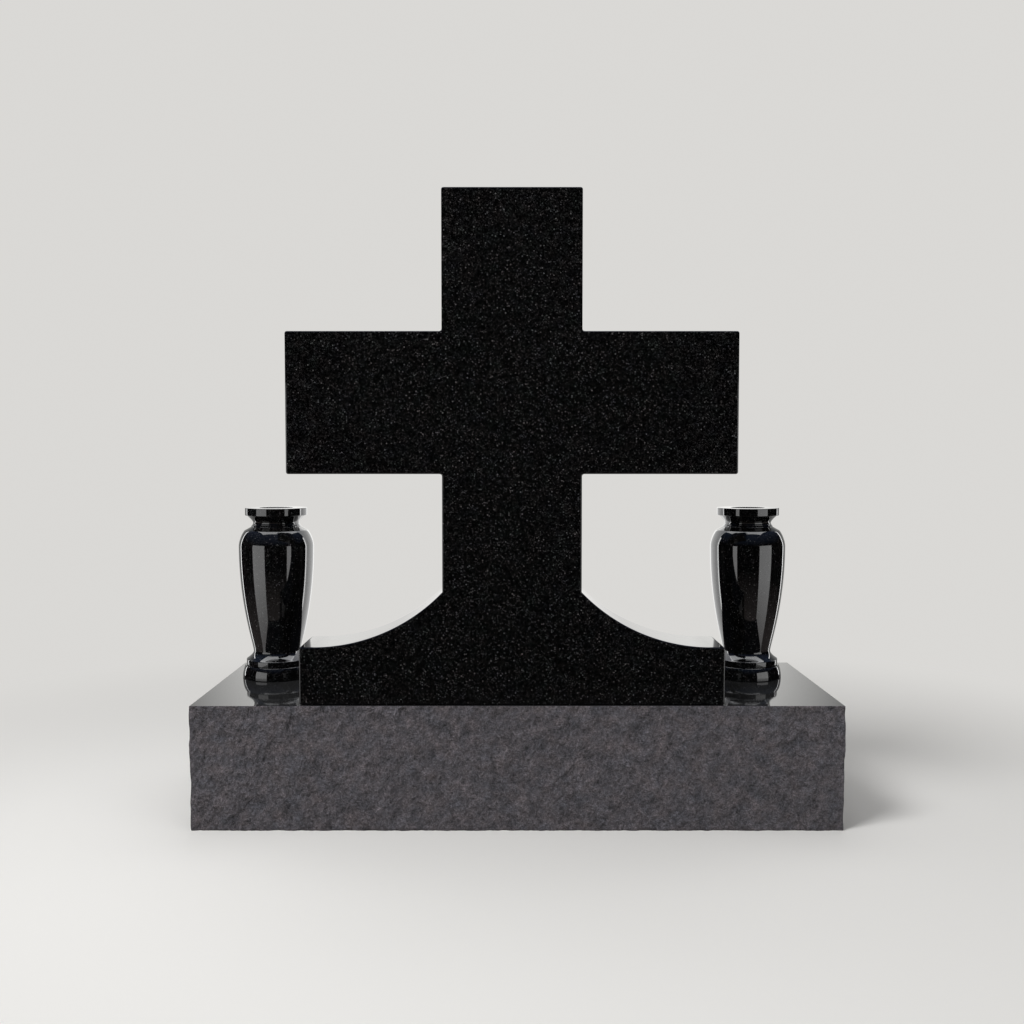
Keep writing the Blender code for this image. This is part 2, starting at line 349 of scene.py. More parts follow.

# %% [markdown]
# ## Rock-faced grey granite
#
# The base's sides are split and dressed with a chisel, so light scatters from thousands of tiny broken
# faces. The colour drifts between bluish and brownish grey over a few centimetres. Dark streaks and
# thin creases lean across it, because the noise they come from is drawn out along a tilted axis. The
# larger relief is in the mesh. The bump adds the grain and shallow hollows about a centimetre across,
# which follow the same clouds and streaks as the tone. The streaks' and creases' darkness is painted
# shade in those hollows, and the clouds' tone is partly the stone's mottle and partly painted shade.

# %% Rock face
ROCK_COOL, ROCK_WARM = colour(0.074, 0.073, 0.085), colour(0.087, 0.075, 0.080)
STREAK_TILT = (math.radians(-20.0), math.radians(30.0), 0.0)
STREAK_STRETCH = (1.0, 1.0, 2.6)
ROCK_DRIFT = 34.0
ROCK_CLOUDS = 75.0
ROCK_STREAKS = 80.0
ROCK_FOLDS = 36.0
ROCK_GRAIN = 250.0
ROCK_SPECKS = 560.0
PATCH_GAIN = 2.6
# Cloud tone is partly mottle, partly painted shade; streak and crease tones are painted shade.
LOWEST_SHADE, CLOUD_MOTTLE_AND_SHADE, PATCH_SHADE = 0.28, 1.44, 0.26
STREAK_LEVEL, STREAK_EDGE, STREAK_PAINTED_SHADE = 0.43, 8.0, 0.27
CREASE_EDGE, CREASE_PAINTED_SHADE = 13.0, 0.20
ROCK_ROUGHNESS, GRAIN_ROUGHNESS = 0.68, 0.1
ROCK_BUMP = 0.0021
GRAIN_RISE, SPECK_RISE, STREAK_RISE, CLOUD_RISE, CREASE_DROP = 0.65, 0.2, 3.4, 5.0, 0.55


def rock_face():
    """Matt mottled grey stone with a fine broken grain.

    The tone is a sum of clouds and patches, times grain and specks, less painted shade in the streaks and
    creases. A streak is where leaning noise is low, and a crease is where it passes through its middle
    value; the bump sinks in both, and the clouds' tone is partly painted shade where the bump sinks.
    """
    material, shader, place = new_material("rock_faced_grey_granite")
    tilt = {"Vector": place, "Rotation": STREAK_TILT, "Scale": STREAK_STRETCH}
    leaning = place.node("ShaderNodeMapping", {"vector_type": "TEXTURE"}, tilt, "Vector")
    clouds = place.noise(ROCK_CLOUDS, 3.0, 0.65)
    streaks = leaning.noise(ROCK_STREAKS, 2.0, 0.55)
    folds = leaning.noise(ROCK_FOLDS, 2.0, 0.5) - 0.5
    crease = (1.0 - (folds * folds) ** 0.5 * CREASE_EDGE).clamped()
    grain = place.noise(ROCK_GRAIN, 2.0, 0.75) * 2.0
    specks = place.noise(ROCK_SPECKS, 1.0, 0.6) * 2.0
    patches = place.noise(ROCK_DRIFT, 3.0, 0.6).contrast(PATCH_GAIN)
    # Streaks and creases lie where the bump sinks; darkening them there is painted shade.
    streak_painted_shade = ((STREAK_LEVEL - streaks) * STREAK_EDGE).clamped()
    shade = (LOWEST_SHADE + CLOUD_MOTTLE_AND_SHADE * clouds + PATCH_SHADE * patches) * grain**1.2 * specks**0.9
    shade = shade - STREAK_PAINTED_SHADE * streak_painted_shade - CREASE_PAINTED_SHADE * crease
    feed(shader, "Base Color", shade.tinted(patches.blend(ROCK_COOL, ROCK_WARM)))
    feed(shader, "Roughness", ROCK_ROUGHNESS + GRAIN_ROUGHNESS * grain)
    height = GRAIN_RISE * grain + SPECK_RISE * specks + STREAK_RISE * streaks + CLOUD_RISE * clouds
    height = height - CREASE_DROP * crease
    sockets = {"Height": height, "Strength": 1.0, "Distance": ROCK_BUMP}
    feed(shader, "Normal", place.node("ShaderNodeBump", {}, sockets, "Normal"))
    return material


rock = rock_face()
print(f"{rock.name}: {len(rock.node_tree.nodes)} nodes")

# %% [markdown]
# ## Polished base top
#
# The base's upper side is ground flat and polished before the cross is set. Polish closes the broken
# faces, so the same stone looks far darker there and mirrors what stands on it. It keeps the drift of
# the rock face, so that both finishes read as one stone.

# %% Polished top
TOP_TONE = 0.008
TOP_FLECKS = 0.012
TOP_CRYSTALS = 420.0
TOP_TINT = (1.0, 1.0, 1.03)
TOP_ROUGHNESS, TOP_FLECK_ROUGHNESS = 0.04, 0.03


def polished_top():
    """The base's stone with a polished face: a dark tone plus the cube of crystal noise, times drift."""
    material, shader, place = new_material("polished_grey_granite")
    crystals = place.noise(TOP_CRYSTALS, 3.0, 0.6)
    drift = place.noise(ROCK_DRIFT, 3.0, 0.6)
    tone = TOP_TONE + TOP_FLECKS * (crystals * 2.0) ** 3.0 * (0.6 + 0.8 * drift)
    feed(shader, "Base Color", tone.tinted(TOP_TINT))
    feed(shader, "Roughness", TOP_ROUGHNESS + TOP_FLECK_ROUGHNESS * crystals)
    return material


top_polish = polished_top()
print(f"{top_polish.name}: {len(top_polish.node_tree.nodes)} nodes")

# %% [markdown]
# ## The base
#
# A block of 1.00 by 0.36 by 0.19 m. The mason strikes a straight line under the top and splits the
# sides along it, which leaves long shallow swells, diagonal flutes and small chips along the foot. It
# could be sculpted by hand or displaced by a texture. A height map over each side's length and height
# is chosen, because it is the same at every run and leaves no gap at the corners: the corner takes its
# x from one side and its y from the other, and the grid between two corners is stretched to fit them.

# %% Hills for the rock face
HILL_GRID = 256


def hills(x, y, seed):
    """Smooth random hills of about one unit across, from -0.7 to 0.7.

    Every whole-number corner has a random slope. A point adds up its four corners' slopes, each times
    the distance to it, blended by the S-curve t^3 (10 - 15 t + 6 t^2).
    """
    turn = np.random.default_rng(seed).uniform(0.0, 2.0 * np.pi, (HILL_GRID, HILL_GRID))
    slope_x = np.cos(turn)
    slope_y = np.sin(turn)
    left = np.floor(x).astype(int)
    low = np.floor(y).astype(int)
    dx = x - left
    dy = y - low

    def lean(i, j):
        """How high one corner's slope stands at each point."""
        column = (left + i) % HILL_GRID
        row = (low + j) % HILL_GRID
        return slope_x[row, column] * (dx - i) + slope_y[row, column] * (dy - j)

    blend_x = dx**3 * (10.0 - 15.0 * dx + 6.0 * dx**2)
    blend_y = dy**3 * (10.0 - 15.0 * dy + 6.0 * dy**2)
    bottom = lean(0, 0) + blend_x * (lean(1, 0) - lean(0, 0))
    top = lean(0, 1) + blend_x * (lean(1, 1) - lean(0, 1))
    return bottom + blend_y * (top - bottom)


# %% Relief of one side
BASE_WIDTH = 1.000
BASE_DEPTH = 0.355
BASE_HEIGHT = 0.193
SWELL = 0.0013
SWELL_WAVE = 0.110
# share, turns along, turns up, phase
SWELLS = ((1.0, 1.0, 0.55, 0.0), (0.7, 1.9, -1.3, 1.7), (0.5, 3.1, 2.7, 0.6))
# width, height, size and seed of the rounder hills
LUMPS = ((0.021, 0.027, 0.0016, 7), (0.0085, 0.0115, 0.0009, 8))
FLUTE_DEPTH = 0.0017
FLUTE_LEAN = math.radians(62.0)
FLUTE_WIDTH, FLUTE_LENGTH, FLUTE_EDGE = 0.016, 0.052, 3.0
FLUTE_WARP, WARP_WAVE = 0.006, 0.05
FLUTE_PATCH = 0.06
OUTWARD_LIMIT = 0.0017
SWELL_CREST, FINE_CREST = 0.012, 0.005
CORNER_SHARE, CORNER_CALM = 0.25, 0.020


def rock_relief(along, up, from_corner):
    """How far the split face stands out from a straight side, in metres.

    Long swells, sin(2 pi (a along + b up) / wave + phase), carry leaning flutes: grooves where hills
    drawn out along a steep diagonal pass through zero. Rounder hills of two sizes lie over both.
    Flutes and hills fade towards the upright corners, which the mason dresses almost straight, and
    all relief fades just under the top.
    """
    turn = 2.0 * math.pi / SWELL_WAVE
    total = sum(swell[0] for swell in SWELLS)
    swells = sum(s * np.sin(turn * (a * along + b * up) + p) for s, a, b, p in SWELLS) / total
    warp = FLUTE_WARP * hills(along / WARP_WAVE, up / WARP_WAVE, 11)
    down_flute = along * math.cos(FLUTE_LEAN) + up * math.sin(FLUTE_LEAN)
    across_flute = along * math.sin(FLUTE_LEAN) - up * math.cos(FLUTE_LEAN) + warp
    ridge = np.abs(hills(across_flute / FLUTE_WIDTH, down_flute / FLUTE_LENGTH, 5))
    groove = (1.0 - ridge * FLUTE_EDGE).clip(0.0, 1.0)
    patchy = (hills(along / FLUTE_PATCH, up / FLUTE_PATCH, 3) * 1.6 + 0.5).clip(0.0, 1.0)
    lumps = sum(hills(along / wide, up / high, seed) * size for wide, high, size, seed in LUMPS)
    crest = ((BASE_HEIGHT - up) / SWELL_CREST).clip(0.0, 1.0)
    fine_crest = ((BASE_HEIGHT - up) / FINE_CREST).clip(0.0, 1.0)
    calm = (CORNER_SHARE + from_corner / CORNER_CALM).clip(0.0, 1.0)
    relief = SWELL * crest * swells + calm * fine_crest * (lumps - FLUTE_DEPTH * patchy * groove**2)
    return np.minimum(relief, OUTWARD_LIMIT)


# %% Four sides and the block
FRONT_COLUMNS = 540
END_COLUMNS = 150
BACK_COLUMNS = 250
SIDE_ROWS = 78
BACK_SHARE = 0.5
TOP_EASE = 0.0006
CHIP, CHIP_WAVE = 0.0014, 0.013


def base_rings():
    """Rings of the base from its underside up, as rows by columns by three."""
    half_width = BASE_WIDTH / 2.0
    half_depth = BASE_DEPTH / 2.0
    heights = np.linspace(0.0, BASE_HEIGHT - TOP_EASE, SIDE_ROWS)
    heights = np.append(heights, BASE_HEIGHT)[:, None]

    def side(start, end, columns, share=1.0):
        """Relief of one side, with chips off its foot and an eased top edge."""
        along = np.linspace(start, end, columns + 1)[None, :]
        from_corner = np.minimum(along - start, end - along)
        relief = share * rock_relief(along, heights, from_corner)
        chips = (hills(along / CHIP_WAVE, along * 0.0, 21) * 1.4 + 0.45).clip(0.15, 1.0)
        relief[0] -= CHIP * chips[0]
        relief[-1] = -TOP_EASE
        return relief

    reach = half_width + half_depth
    front = side(-half_width, half_width, FRONT_COLUMNS)
    right = side(half_width, half_width + BASE_DEPTH, END_COLUMNS)
    back = side(reach + half_depth, reach + half_depth + BASE_WIDTH, BACK_COLUMNS, BACK_SHARE)
    left = side(-reach - half_depth, -half_width, END_COLUMNS)
    print(f"front relief from {1000 * front.min():.1f} to {1000 * front.max():.1f} mm")

    def between(first, last, columns):
        """Even steps from one corner to the next, row by row."""
        share = np.linspace(0.0, 1.0, columns + 1)[None, :]
        return first[:, None] * (1.0 - share) + last[:, None] * share

    west_back, west_front = -half_width - left[:, 0], -half_width - left[:, -1]
    east_front, east_back = half_width + right[:, 0], half_width + right[:, -1]
    south_left, south_right = -half_depth - front[:, 0], -half_depth - front[:, -1]
    north_right, north_left = half_depth + back[:, 0], half_depth + back[:, -1]
    x_parts = [
        between(west_front, east_front, FRONT_COLUMNS),
        half_width + right,
        between(east_back, west_back, BACK_COLUMNS),
        -half_width - left,
    ]
    y_parts = [
        -half_depth - front,
        between(south_right, north_right, END_COLUMNS),
        half_depth + back,
        between(north_left, south_left, END_COLUMNS),
    ]
    x = np.concatenate([part[:, :-1] for part in x_parts], axis=1)
    y = np.concatenate([part[:, :-1] for part in y_parts], axis=1)
    return np.stack([x, y, np.broadcast_to(heights, x.shape)], axis=-1)


rings = base_rings()
base = ring_skin("rock_faced_base", rings, [rock, top_polish], second_from=len(rings) - 1)
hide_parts("base")
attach(base, "root")

# %% [markdown]
# ## The cross
#
# One slab, 110 mm thick, sawn to a cross whose foot sweeps out in two hollow curves. An extruded
# outline with a Bevel modifier would do. Here its outline is drawn once from corners and two circular
# arcs, and a small quarter-round profile carries it from the back face to the front face: the inset
# grows to the arris width at both ends. That keeps the arris even round the inner corners too.

# %% Outline of the cross
STEM_WIDTH = 0.2122
ARM_SPAN = 0.6846
ARM_HEIGHT = 0.3528
ARM_DEPTH = 0.2151
HEAD_HEIGHT = 0.2137
FOOT_WIDTH = 0.6510
FOOT_HEIGHT = 0.0885
FOOT_LEDGE = 0.0213
SHOULDER_RISE = 0.0845
CROSS_CORNER = 0.004
CORNER_STEPS = 8
SHOULDER_STEPS = 64


def cross_outline():
    """Outline of the cross, anticlockwise from the front, as x and height above its seat.

    A shoulder is part of a circle with the radius (span^2 + rise^2) / (2 rise), level at its foot.
    """
    stem = STEM_WIDTH / 2.0
    arm = ARM_SPAN / 2.0
    foot = FOOT_WIDTH / 2.0
    arm_top = ARM_HEIGHT + ARM_DEPTH
    start = foot - FOOT_LEDGE
    span = start - stem
    radius = (span**2 + SHOULDER_RISE**2) / (2.0 * SHOULDER_RISE)
    swing = math.degrees(math.asin(span / radius))
    centre = (start, FOOT_HEIGHT + radius)
    sweep = ellipse(centre, (radius, radius), -90.0, -90.0 - swing, SHOULDER_STEPS)
    feet = [(foot, 0.0), (foot, FOOT_HEIGHT)]
    arms = [(stem, ARM_HEIGHT), (arm, ARM_HEIGHT), (arm, arm_top), (stem, arm_top)]
    right = np.concatenate([feet, sweep, arms, [(stem, arm_top + HEAD_HEIGHT)]])
    reach = np.full(len(right), CROSS_CORNER)
    reach[len(feet) : len(feet) + len(sweep)] = 0.0
    whole = np.concatenate([right, right[::-1] * (-1.0, 1.0)])
    return eased(whole, np.concatenate([reach, reach[::-1]]), CORNER_STEPS, closed=True)


def inset(line, depth):
    """A closed line moved inwards: each corner slides along the middle of its two sides' normals."""
    ahead = np.roll(line, -1, axis=0) - line
    ahead /= np.linalg.norm(ahead, axis=1, keepdims=True)
    behind = np.roll(ahead, 1, axis=0)
    inward = np.stack([-(ahead + behind)[:, 1], (ahead + behind)[:, 0]], axis=1)
    inward /= np.linalg.norm(inward, axis=1, keepdims=True)
    square = -inward[:, :1] * ahead[:, 1:] + inward[:, 1:] * ahead[:, :1]
    return line + depth * inward / square


outline = cross_outline()
width, height = np.ptp(outline, axis=0)
print(f"cross outline: {len(outline)} corners, {width:.3f} m wide and {height:.3f} m tall")

# %% Cross piece
ARRIS = 0.0022
ARRIS_STEPS = 6

cross_low, cross_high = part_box("cross")


def cross_rings():
    """Rings of the cross from its back face to its front face: the outline inset along a profile."""
    half = (cross_high.y - cross_low.y) / 2.0
    round_off = ellipse((ARRIS, half - ARRIS), (-ARRIS, ARRIS), 90.0, 0.0, ARRIS_STEPS)
    support = [(0.0, half - 2.0 * ARRIS), (0.0, 0.0)]
    quarter = np.concatenate([round_off, support])
    profile = np.concatenate([quarter, quarter[-2::-1] * (1.0, -1.0)])
    rings = []
    for depth, away in profile:
        line = inset(outline, depth)
        rings.append(np.stack([line[:, 0], np.full(len(line), away), line[:, 1]], axis=1))
    centre = ((cross_low.x + cross_high.x) / 2.0, (cross_low.y + cross_high.y) / 2.0, cross_low.z)
    return np.array(rings) + centre


cross = ring_skin("polished_cross", cross_rings(), [black])
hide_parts("cross")
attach(cross, "root")

# %% [markdown]
# ## Drilled bore
#
# The bore is drilled with a diamond core bit and never polished, so the same black stone shows there as
# a matt mid grey with faint rings from the bit. The rings are a sine of the height, which needs no
# image and no unwrapping.

# %% Bore
BORE_TONE, BORE_GRAIN_TONE, BORE_RING_TONE = 0.16, 0.10, 0.012
BORE_GRAIN = 600.0
BORE_RING_WAVE = 3600.0
BORE_ROUGHNESS, BORE_GRAIN_ROUGHNESS = 0.6, 0.2


def drilled_bore():
    """Unpolished grey bore with turned rings a millimetre or two apart: tone + grain + sine of z."""
    material, shader, place = new_material("drilled_black_granite")
    grain = place.noise(BORE_GRAIN, 2.0, 0.6)
    bit_rings = place.math("SINE", place.part("Z") * BORE_RING_WAVE)
    tone = BORE_TONE + BORE_GRAIN_TONE * grain + BORE_RING_TONE * bit_rings
    feed(shader, "Base Color", tone.grey())
    feed(shader, "Roughness", BORE_ROUGHNESS + BORE_GRAIN_ROUGHNESS * grain)
    return material


drilled = drilled_bore()
print(f"{drilled.name}: rings {2000.0 * math.pi / BORE_RING_WAVE:.2f} mm apart")

# %% [markdown]
# ## The vases
#
# A vase is turned on a lathe and then bored out from above. Its half section is one line: from the
# seat's edge up the ring, bead, waist, belly, shoulder, collar, neck and rim, and down the bore to its
# floor. A Screw modifier could turn that line. The rings are worked out here instead, so that the bore
# takes its own finish from one row on, and small eased corners give each edge its bright line.

# %% Section of a vase
VASE_HEIGHT = 0.2915
RIM_RADIUS = 0.0524
RIM_THICKNESS = 0.0128
RIM_EASE = 0.0008
NECK_RADIUS = 0.0389
NECK_FLARE = 0.0102
NECK_LENGTH = 0.0132
NECK_HOLD = 0.22
NECK_WALL = 0.0109
ASTRAGAL_LIP = 0.0006
ASTRAGAL_DROP = 0.0022
ASTRAGAL_WIDTH = 0.0005
COLLAR_LIP = 0.0031
COLLAR_SLOPE = 0.0050
COLLAR_LENGTH = 0.0013
COLLAR_EDGE = 0.0006
ROOF_WIDTH = 0.0108
ROOF_DROP = 0.0059
SHOULDER_DROP = 0.0340
SHOULDER_TURN = 0.30
SHOULDER_HOLD = 0.50
BELLY_RADIUS = 0.0635
BELLY_HOLD = 0.544
WAIST_RADIUS = 0.0403
WAIST_PULL = (0.115, 0.105)
COVE_HEIGHT = 0.0142
COVE_DROP = 0.35
COVE_PULL = (0.55, 0.30)
BEAD_RADIUS = 0.0524
BEAD_HEIGHT = 0.0090
BEAD_EDGE = 0.0010
NOTCH_GAP = 0.0010
NOTCH_DEPTH = 0.0055
NOTCH_EDGE = 0.0002
RING_RADIUS = 0.0588
RING_HEIGHT = 0.0215
RING_SHOULDER = 0.0043
RING_EDGE = 0.0008
RING_HOLD = 0.39
RING_LEAN = (0.70, 0.27)
BORE_FLOOR = 0.0920
BORE_CORNER = 0.0020
EDGE_STEPS = 6


def vase_section():
    """Half section of a vase as radius and height, from the seat's edge round to the bore's floor.

    Straight stretches meet in eased corners. The ring, cove, belly, shoulder and neck are cubic curves
    between them, each given by where it starts, where it ends and how long it keeps its direction. The
    two points on the axis only give the end corners their direction: flat caps close both ends. The
    cove's first points give way to the bead's eased edge.
    """
    rim_foot = VASE_HEIGHT - RIM_THICKNESS
    neck_foot = rim_foot - NECK_LENGTH
    collar_top = neck_foot - COLLAR_SLOPE
    collar_foot = collar_top - COLLAR_LENGTH
    collar = NECK_RADIUS + COLLAR_LIP
    belly_line = collar_foot - SHOULDER_DROP
    ring_top = RING_RADIUS - RING_SHOULDER
    notch = ring_top - NOTCH_DEPTH
    bead_foot = RING_HEIGHT + NOTCH_GAP
    bead_top = bead_foot + BEAD_HEIGHT
    waist_line = bead_top + COVE_HEIGHT
    sweep = BEAD_RADIUS - WAIST_RADIUS
    taper = belly_line - waist_line
    width = BELLY_RADIUS - WAIST_RADIUS
    roof = (collar + ROOF_WIDTH, collar_foot - ROOF_DROP)
    turn = BELLY_RADIUS - roof[0]
    corner_line = roof[1] - turn * ROOF_DROP / ROOF_WIDTH
    bore = NECK_RADIUS - NECK_WALL

    ring = cubic(
        (RING_RADIUS, 0.0),
        (RING_RADIUS, RING_HOLD * RING_HEIGHT),
        (ring_top + RING_LEAN[0] * RING_SHOULDER, (1.0 - RING_LEAN[1]) * RING_HEIGHT),
        (ring_top, RING_HEIGHT),
        steps=24,
    )
    cove = cubic(
        (BEAD_RADIUS, bead_top),
        (BEAD_RADIUS - COVE_PULL[0] * sweep, bead_top + COVE_PULL[1] * COVE_HEIGHT),
        (WAIST_RADIUS, waist_line - COVE_DROP * COVE_HEIGHT),
        (WAIST_RADIUS, waist_line),
        steps=20,
    )
    belly = cubic(
        (WAIST_RADIUS, waist_line),
        (WAIST_RADIUS + WAIST_PULL[0] * width, waist_line + WAIST_PULL[1] * taper),
        (BELLY_RADIUS, belly_line - BELLY_HOLD * taper),
        (BELLY_RADIUS, belly_line),
        steps=48,
    )
    shoulder = cubic(
        (BELLY_RADIUS, belly_line),
        (BELLY_RADIUS, belly_line + SHOULDER_HOLD * (corner_line - belly_line)),
        (roof[0] + SHOULDER_TURN * turn, roof[1] + SHOULDER_TURN * (corner_line - roof[1])),
        roof,
        steps=32,
    )
    spread = cubic(
        (collar, collar_top),
        (collar - 0.5 * COLLAR_LIP, collar_top + 0.3 * COLLAR_SLOPE),
        (NECK_RADIUS, neck_foot - 0.4 * COLLAR_SLOPE),
        (NECK_RADIUS, neck_foot),
        steps=24,
    )
    lip = np.exp(-((spread[:, 1] - (neck_foot - ASTRAGAL_DROP)) / ASTRAGAL_WIDTH) ** 2)
    spread[:, 0] += ASTRAGAL_LIP * lip
    neck = cubic(
        (NECK_RADIUS, neck_foot),
        (NECK_RADIUS, neck_foot + NECK_HOLD * NECK_LENGTH),
        (NECK_RADIUS + NECK_FLARE / 3.0, rim_foot - 0.5 * NECK_LENGTH),
        (NECK_RADIUS + NECK_FLARE, rim_foot),
        steps=16,
    )
    parts = [
        ([(0.0, 0.0)], 0.0),
        (ring[:-1], 0.0),
        ([(ring_top, RING_HEIGHT)], RING_EDGE),
        ([(notch, RING_HEIGHT), (notch, bead_foot)], NOTCH_EDGE),
        ([(BEAD_RADIUS, bead_foot), (BEAD_RADIUS, bead_top)], BEAD_EDGE),
        (cove[3:], 0.0),
        (belly[1:], 0.0),
        (shoulder[1:], 0.0),
        ([(collar, collar_foot)], COLLAR_EDGE),
        (spread, 0.0),
        (neck[1:], 0.0),
        ([(RIM_RADIUS, rim_foot), (RIM_RADIUS, VASE_HEIGHT), (bore, VASE_HEIGHT)], RIM_EASE),
        ([(bore, BORE_FLOOR)], BORE_CORNER),
        ([(0.0, BORE_FLOOR)], 0.0),
    ]
    corners = np.concatenate([points for points, _ in parts])
    reach = np.concatenate([[amount] * len(points) for points, amount in parts])
    return eased(corners, reach, EDGE_STEPS)[1:-1]


section = vase_section()
print(f"vase section: {len(section)} points, widest {2000 * section[:, 0].max():.1f} mm")

# %% Turning
VASE_SIDES = 144
LEVEL = 1e-6


def turned(line, centre):
    """Rings of a turned piece: (r cos a, r sin a, h) about an upright axis through centre."""
    angle = np.linspace(0.0, 2.0 * np.pi, VASE_SIDES, endpoint=False)
    radius = line[:, :1]
    height = np.broadcast_to(line[:, 1:], (len(line), VASE_SIDES))
    return np.stack([radius * np.cos(angle), radius * np.sin(angle), height], axis=-1) + centre


bore_row = int(np.nonzero(section[:, 1] > VASE_HEIGHT - LEVEL)[0][-1])
vases = {}
for name, node in (("left_turned_vase", "left_vase"), ("right_turned_vase", "right_vase")):
    low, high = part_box(node)
    axis = ((low.x + high.x) / 2.0, (low.y + high.y) / 2.0, low.z)
    vase = ring_skin(name, turned(section, axis), [black, drilled], second_from=bore_row)
    vases[name] = vase
    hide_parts(node)
    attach(vase, "root")

# %% [markdown]
# ## Floor
#
# A pale floor takes the stones' soft shadow. Close by it is a matt surface under the lights, and
# farther out it fades into an even glow of the background's own colour, so that no horizon shows. A
# curved backdrop would do the same, but it would stand in the way of views from behind.

# %% Floor
FLOOR_SIZE = 60.0
FLOOR_COLOUR = colour(0.80, 0.79, 0.77)
FLOOR_ROUGHNESS = 0.9
PALE = colour(0.70, 0.69, 0.67)
POOL_START = 0.60
POOL_FADE = 1.0

floor_mesh = bpy.data.meshes.new("floor")
edge = FLOOR_SIZE / 2.0
corners = [(-edge, -edge, 0.0), (edge, -edge, 0.0), (edge, edge, 0.0), (-edge, edge, 0.0)]
floor_mesh.from_pydata(corners, [], [(0, 1, 2, 3)])
floor = bpy.data.objects.new("floor", floor_mesh)
bpy.context.scene.collection.objects.link(floor)
floor_material, floor_shader, floor_place = new_material("pale_floor")
floor_shader.inputs["Base Color"].default_value = FLOOR_COLOUR
floor_shader.inputs["Roughness"].default_value = FLOOR_ROUGHNESS
floor_shader.inputs["Specular IOR Level"].default_value = 0.0
glow = floor_place.node("ShaderNodeEmission", {}, {"Color": PALE})
away = floor_place.node("ShaderNodeVectorMath", {"operation": "LENGTH"}, {"Vector": floor_place}, "Value")
pool = {"Value": away, "From Min": POOL_START, "From Max": POOL_START + POOL_FADE}
far = floor_place.node("ShaderNodeMapRange", {"interpolation_type": "SMOOTHSTEP"}, pool, "Result")
lit = Wire(floor_material.node_tree, floor_shader.outputs["BSDF"])
seamless = floor_place.node("ShaderNodeMixShader", {}, {"Fac": far, "Shader": lit, "Shader_001": glow})
floor_output = floor_material.node_tree.nodes["Material Output"]
floor_material.node_tree.links.new(seamless.socket, floor_output.inputs["Surface"])
floor_mesh.materials.append(floor_material)
floor.visible_glossy = False
floor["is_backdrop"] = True
print(f"floor: lit out to {POOL_START} m, all glow from {POOL_START + POOL_FADE} m")

# %% [markdown]
# ## Surroundings
#
# Polished stone shows its surroundings more than its own colour. The world is therefore three things:
# the camera sees plain pale grey, matt surfaces get a dim even light, and only polish mirrors a studio.
# That studio is dark in front, which keeps the cross's face black, with a bluish ceiling and a brownish
# floor. Behind the stones stands a grey wall with a bright middle, which draws the cross's upper edges
# and the vases' flanks. An environment picture would also work, but these few masks need no file.

# %% Surroundings
DARK_ROOM = colour(0.004, 0.004, 0.005)
CEILING = colour(0.10, 0.14, 0.24)
LOW_ROOM = colour(0.30, 0.26, 0.25)
GREY_WALL = colour(0.42, 0.42, 0.41)
WALL_FOOT, WALL_HEAD = colour(1.00, 0.99, 0.97), colour(1.55, 1.54, 1.50)
DIM_LIGHT = colour(0.16, 0.16, 0.16)
WIDE_BACK, WIDE_EDGE = 0.62, 20.0
NARROW_BACK, NARROW_EDGE = 0.955, 40.0

world = bpy.data.worlds.new("studio")
bpy.context.scene.world = world
world.use_nodes = True
sky = Wire(world.node_tree)
direction = sky.node("ShaderNodeTexCoord", {}, {}, "Generated")
sideways, ahead, upward = direction.part("X"), direction.part("Y"), direction.part("Z")
blue_ceiling = (upward * 2.2 - 0.5).clamped()
dim_floor = (upward * -3.0 - 0.6).clamped()
front_room = dim_floor.blend(blue_ceiling.blend(DARK_ROOM, CEILING), LOW_ROOM)
level = (sideways * sideways + ahead * ahead) ** 0.5
behind = ahead * (level ** -1.0)
under_top = (1.6 - upward * 2.0).clamped()
turned_back = ((behind - WIDE_BACK) * WIDE_EDGE).clamped() * under_top
straight_back = ((behind - NARROW_BACK) * NARROW_EDGE).clamped() * under_top
wall = (upward * 7.2).clamped().blend(WALL_FOOT, WALL_HEAD)
studio = straight_back.blend(turned_back.blend(front_room, GREY_WALL), wall)
polish_ray = sky.node("ShaderNodeLightPath", {}, {}, "Is Glossy Ray")
camera_ray = sky.node("ShaderNodeLightPath", {}, {}, "Is Camera Ray")
shown = camera_ray.blend(polish_ray.blend(DIM_LIGHT, studio), PALE)
background = world.node_tree.nodes["Background"]
world.node_tree.links.new(shown.socket, background.inputs["Color"])
print(f"world: {len(world.node_tree.nodes)} nodes")

# %% [markdown]
# ## Lights
#
# Three soft lights make the shadows and the tone of the rock face, and polish doesn't mirror them. The
# highlights on the vases come from other lights, seen only in polish: a large soft box low in front on
# each side, a fading card behind each vase for its inner flank, two narrow strips for its outlines, and
# panels overhead for its rim and shoulder. Cards, strips and panels are linked to the vases alone, as
# small hand-held reflectors would be, so that they leave no marks on the cross and the base.

# %% Soft boxes


def soft_box(name, centre, aim, size, radiance, mirrored=True, lighting=True, fade=None, only_on=()):
    """A rectangular light; its power is radiance times pi times its area.

    With fade, an axis and two numbers a and b, the brightness is a + b s, at most 1, where s goes from
    0 to 1 along that side of the light. With only_on, it lights and shows in those pieces alone.
    """
    data = bpy.data.lights.new(name, "AREA")
    data.shape = "RECTANGLE"
    data.size, data.size_y = size
    data.energy = radiance * math.pi * size[0] * size[1]
    if fade:
        axis, start, rise = fade
        data.use_nodes = True
        spot = Wire(data.node_tree).node("ShaderNodeNewGeometry", {}, {}, "Parametric")
        strength = (spot.part(axis) * rise + start).clamped()
        data.node_tree.links.new(strength.socket, data.node_tree.nodes["Emission"].inputs["Strength"])
    lamp = bpy.data.objects.new(name, data)
    lamp.location = centre
    lamp.rotation_euler = (Vector(aim) - Vector(centre)).to_track_quat("-Z", "Y").to_euler()
    lamp.visible_camera = False
    lamp.visible_glossy = mirrored
    lamp.visible_diffuse = lighting
    if only_on:
        receivers = bpy.data.collections.new(name + "_lights_only")
        for piece in only_on:
            receivers.objects.link(piece)
        lamp.light_linking.receiver_collection = receivers
    bpy.context.scene.collection.objects.link(lamp)
    return lamp


# %% Lights of one vase
MIDDLE_X = -0.008
